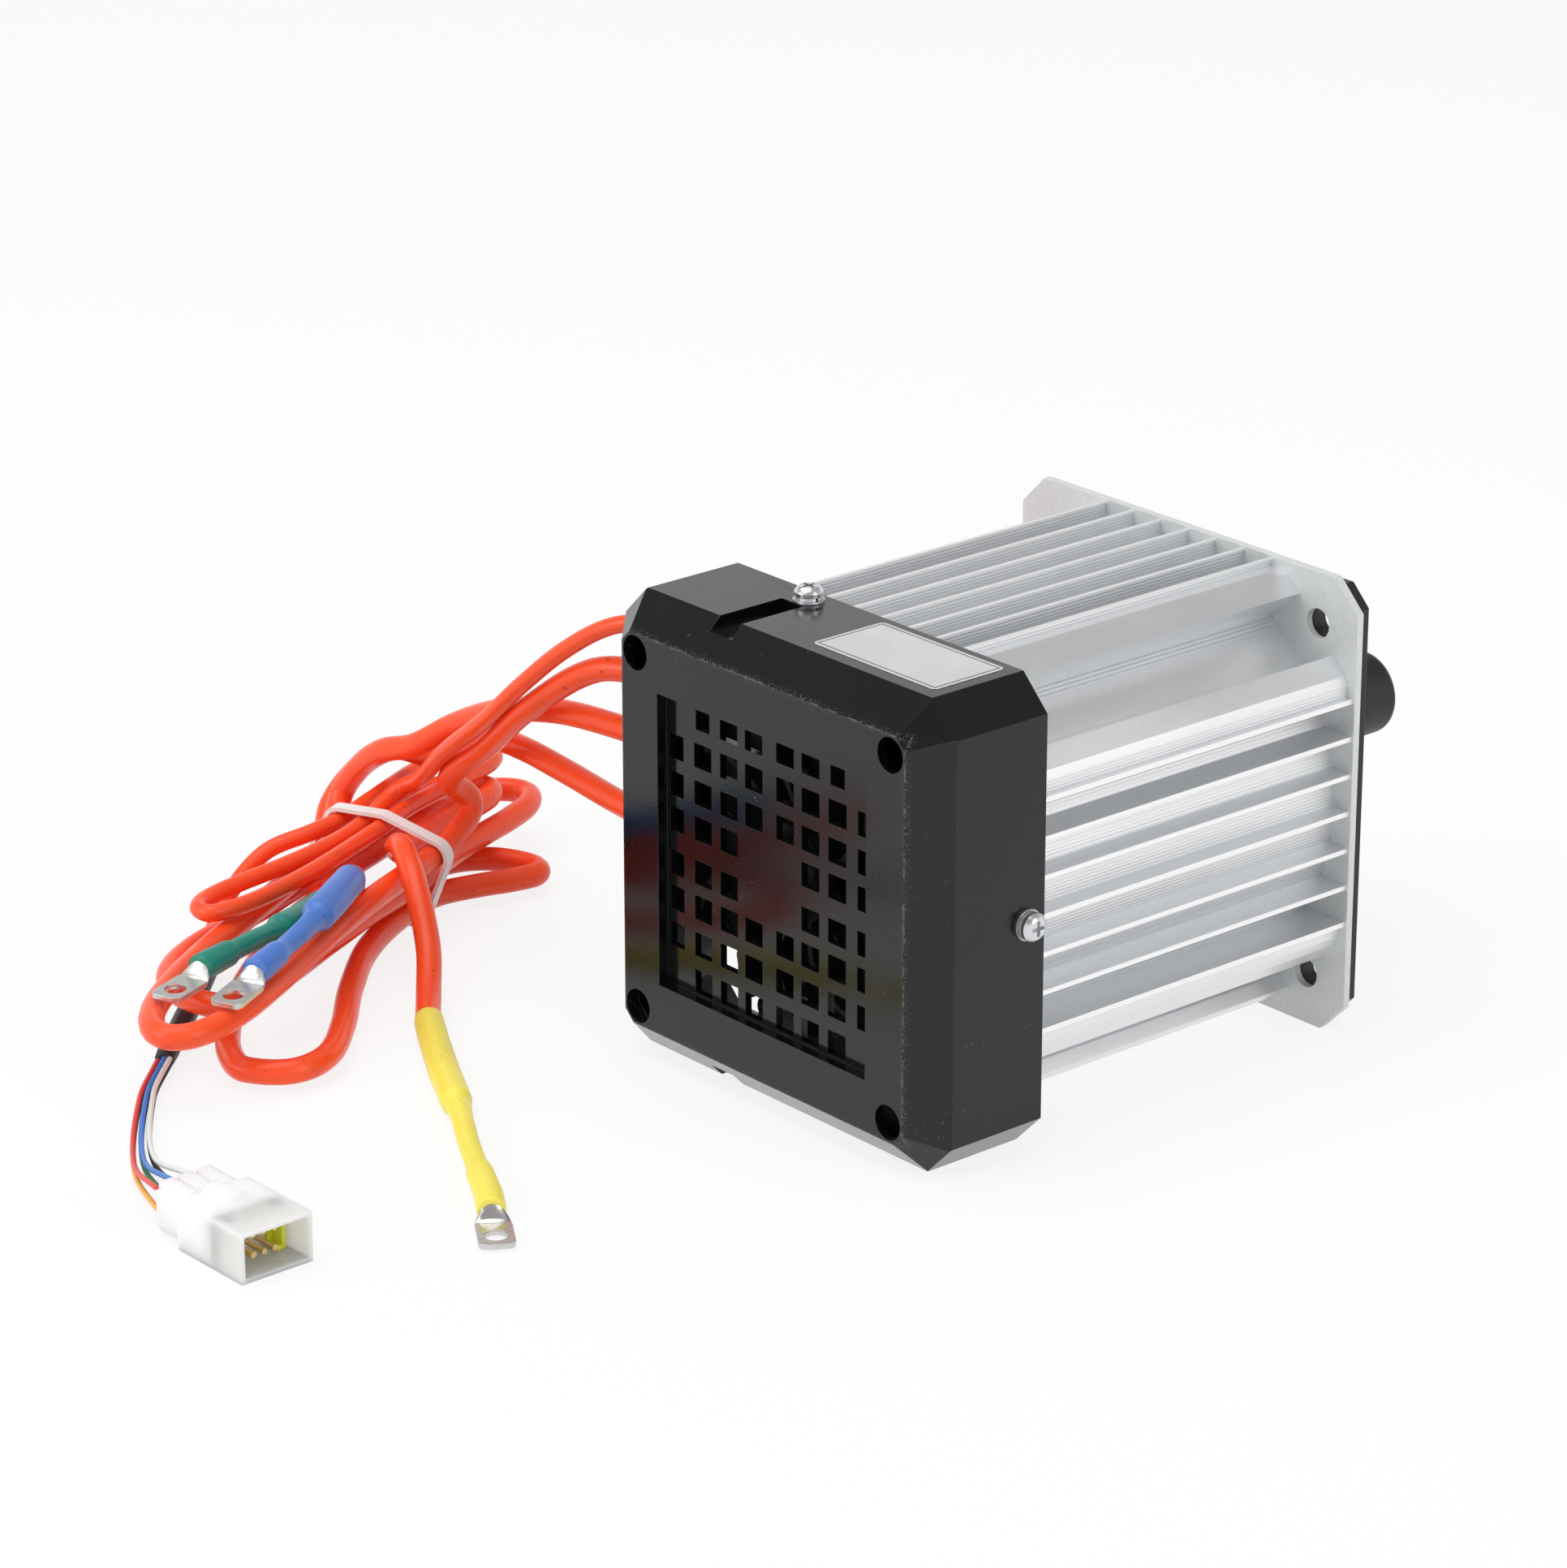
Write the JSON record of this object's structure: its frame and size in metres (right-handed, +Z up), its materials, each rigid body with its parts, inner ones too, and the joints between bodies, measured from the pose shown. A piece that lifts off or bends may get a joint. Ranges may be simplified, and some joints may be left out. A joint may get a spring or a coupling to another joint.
{
  "type": "dc motor",
  "caption": "Fan cooled brushless dc motor with a square flange, finned aluminium housing, capped splined shaft, and phase and sensor leads tied in a bundle.",
  "frame": {"origin": "centre of the mounting face, where the front end cover's face meets the shaft's axis", "axes": "+Y along the shaft, out of the mounting face towards the drive end; +Z up, away from the side that the motor rests on in the picture; +X to the finned side seen at the right"},
  "size_m": [0.3138, 0.427, 0.1467],
  "materials": {
    "housing_aluminium": "extruded, matte",
    "flange_aluminium": "plain, matte",
    "bracket_aluminium": "die cast",
    "end_cover_black": "black paint",
    "cover_black": "semi-gloss moulding",
    "cap_black": "satin moulding",
    "fan_black": "moulded",
    "zinc": "zinc plated",
    "bearing_steel": "ground",
    "shaft_steel": "turned and ground",
    "lamination": "stacked laminations",
    "magnet": "nickel plated",
    "copper": "enamelled winding",
    "board_green": "circuit board",
    "chip_black": "moulded",
    "rubber_black": "moulded rubber",
    "lead_orange": "silicone insulation",
    "sleeve_blue": "heat shrink",
    "sleeve_green": "heat shrink",
    "sleeve_yellow": "heat shrink",
    "sleeve_black": "heat shrink",
    "tinned": "tin plated copper",
    "wire_mixed": "six colours",
    "nylon_white": "natural nylon",
    "lock_yellow": "moulded",
    "pin_brass": "tinned brass",
    "tie_white": "nylon"
  },
  "bodies": {
    "housing": {"housing": "housing_aluminium", "mounting_flange": "flange_aluminium", "front_end_cover": "end_cover_black", "end_cover_screws": "zinc", "front_bearing_outer_ring": "bearing_steel", "shaft_seal": "rubber_black", "rear_bracket": "bracket_aluminium", "rear_bracket_screws": "zinc", "rear_bearing_outer_ring": "bearing_steel", "wave_washer": "bearing_steel", "stator_core": "lamination", "stator_windings": "copper", "sensor_board": "board_green", "hall_sensors": "chip_black", "inner_leads": "lead_orange", "fan_cover": "cover_black", "cover_screws": "zinc", "cover_washers": "zinc", "cable_grommet": "rubber_black", "blue_phase_lead": "lead_orange", "green_phase_lead": "lead_orange", "yellow_phase_lead": "lead_orange", "sensor_lead": "lead_orange", "blue_phase_loop": "lead_orange", "green_phase_loop": "lead_orange", "yellow_phase_loop": "lead_orange", "sensor_loop": "lead_orange", "blue_phase_tail": "lead_orange", "green_phase_tail": "lead_orange", "yellow_phase_tail": "lead_orange", "sensor_tail": "lead_orange", "blue_sleeve": "sleeve_blue", "green_sleeve": "sleeve_green", "yellow_sleeve": "sleeve_yellow", "sensor_sleeve": "sleeve_black", "blue_ring_lug": "tinned", "green_ring_lug": "tinned", "yellow_ring_lug": "tinned", "sensor_wires": "wire_mixed", "sensor_connector": "nylon_white", "connector_lock": "lock_yellow", "connector_pins": "pin_brass", "cable_tie": "tie_white"},
    "rotor": {"shaft": "shaft_steel", "rotor_core": "lamination", "rotor_magnets": "magnet", "cooling_fan": "fan_black", "fan_circlip": "bearing_steel", "front_bearing_inner_ring": "bearing_steel", "rear_bearing_inner_ring": "bearing_steel"},
    "cap": {"shaft_cap": "cap_black"},
    "front_cage": {"front_bearing_balls": "bearing_steel"},
    "rear_cage": {"rear_bearing_balls": "bearing_steel"}
  },
  "joints": [
    {"name": "rotor_spin", "type": "hinge", "parent": "housing", "child": "rotor", "pos_m": [0, 0, 0], "axis": [0, 1, 0], "continuous": true},
    {"name": "cap_pull", "type": "slide", "parent": "rotor", "child": "cap", "axis": [0, 1, 0], "range_m": [0, 0.075]},
    {"name": "front_cage_spin", "type": "hinge", "parent": "housing", "child": "front_cage", "pos_m": [0, -0.0145, 0], "axis": [0, 1, 0], "continuous": true},
    {"name": "rear_cage_spin", "type": "hinge", "parent": "housing", "child": "rear_cage", "pos_m": [0, -0.134, 0], "axis": [0, 1, 0], "continuous": true}
  ],
  "couplings": [
    {"joint": "front_cage_spin", "follows": "rotor_spin", "ratio": 0.4},
    {"joint": "rear_cage_spin", "follows": "rotor_spin", "ratio": 0.4}
  ]
}
